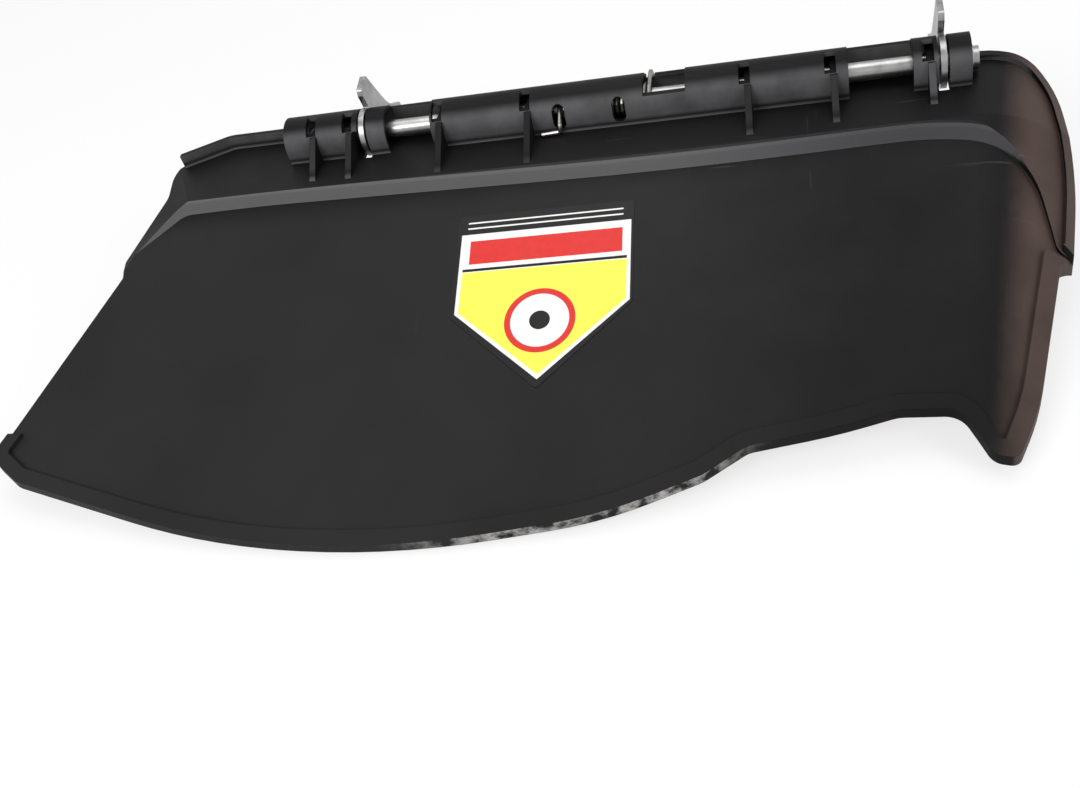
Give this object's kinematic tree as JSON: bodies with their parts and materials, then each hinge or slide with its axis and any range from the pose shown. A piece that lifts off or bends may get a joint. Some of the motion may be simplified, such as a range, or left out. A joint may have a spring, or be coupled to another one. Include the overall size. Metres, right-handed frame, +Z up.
{
  "type": "mower discharge deflector",
  "caption": "Hinged side discharge chute cover with a recessed panel, bent front wall, hooded hinge rod, torsion spring and two bolted hinge brackets.",
  "frame": {"origin": "centre of the four bolt holes, on the underside of the two bracket feet", "axes": "+X along the hinge towards the front of the deck, +Y inboard, +Z up from the deck"},
  "size_m": [0.622, 0.3279, 0.1181],
  "materials": {
    "black_polypropylene": "fine moulded grain, slightly scuffed",
    "printed_film": "printed and laminated label film",
    "spring_wire": "zinc plated drawn wire",
    "zinc_plated_steel": "bright zinc plating"
  },
  "bodies": {
    "hinge_mount": {"hinge_rod": "zinc_plated_steel", "push_nut_rear": "zinc_plated_steel", "push_nut_front": "zinc_plated_steel", "bracket_rear": "zinc_plated_steel", "bracket_front": "zinc_plated_steel"},
    "deflector": {"deflector_moulding": "black_polypropylene", "label": "printed_film", "torsion_spring": "spring_wire"}
  },
  "joints": [
    {"name": "cover_hinge", "type": "hinge", "parent": "hinge_mount", "child": "deflector", "pos_m": [0, -0.043, 0.03], "axis": [-1, 0, 0], "range_deg": [0, 85], "stiffness_Nm_per_rad": 0.6, "springref_deg": -80.21}
  ]
}
